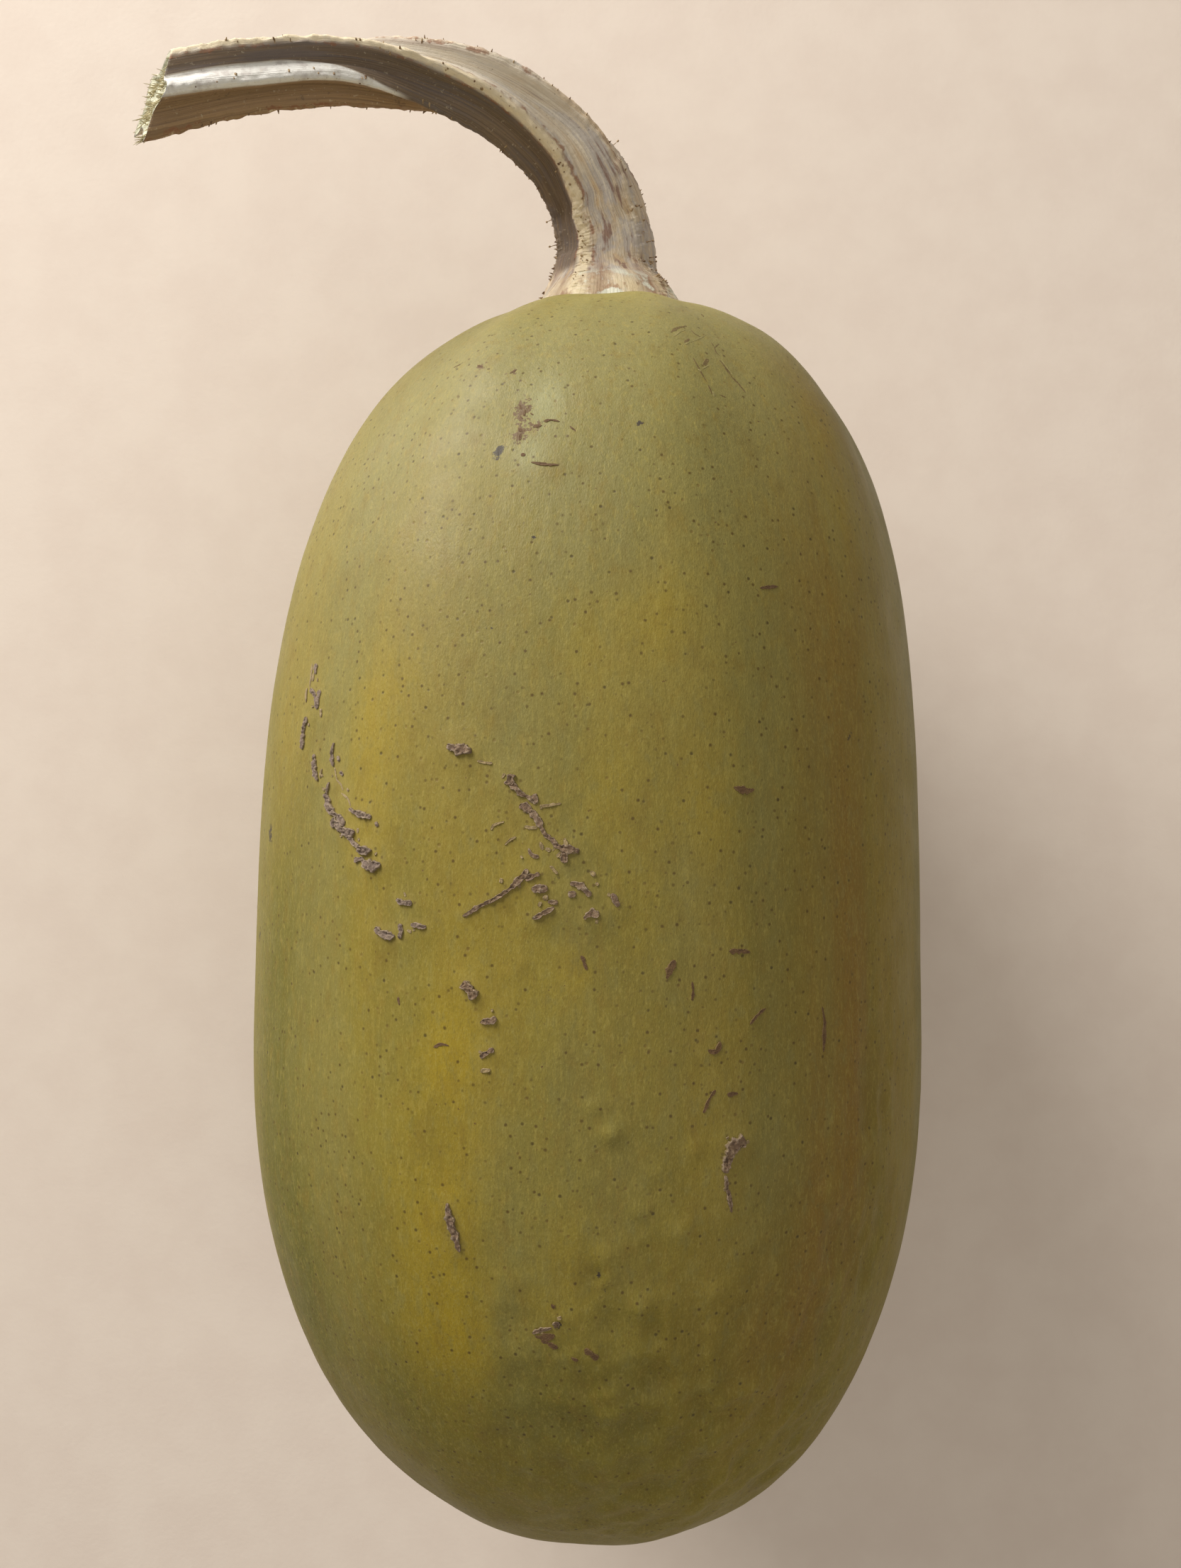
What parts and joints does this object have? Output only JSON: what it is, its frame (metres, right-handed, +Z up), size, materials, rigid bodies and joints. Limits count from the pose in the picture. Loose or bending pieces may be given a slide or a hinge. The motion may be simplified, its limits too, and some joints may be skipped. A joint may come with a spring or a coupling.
{
  "type": "dried spaghetti squash",
  "caption": "Cured oblong winter squash lying on its side, with its dry, twisted, ridged stem still on it.",
  "frame": {"origin": "on the small flat spot that the fruit rests on, under the middle of the fruit's length", "axes": "+Y along the fruit's axis towards the stem, +Z up, +X across the fruit"},
  "size_m": [0.1382, 0.2674, 0.1236],
  "materials": {
    "rind": "hard, satin, olive yellow rind with grey-green bands and raised corky marks",
    "dry_stem": "matt, dry, ridged stem, pale tan with grey and brown streaks"
  },
  "bodies": {
    "root": {"squash_fruit": "rind", "squash_stem": "dry_stem"}
  },
  "joints": []
}
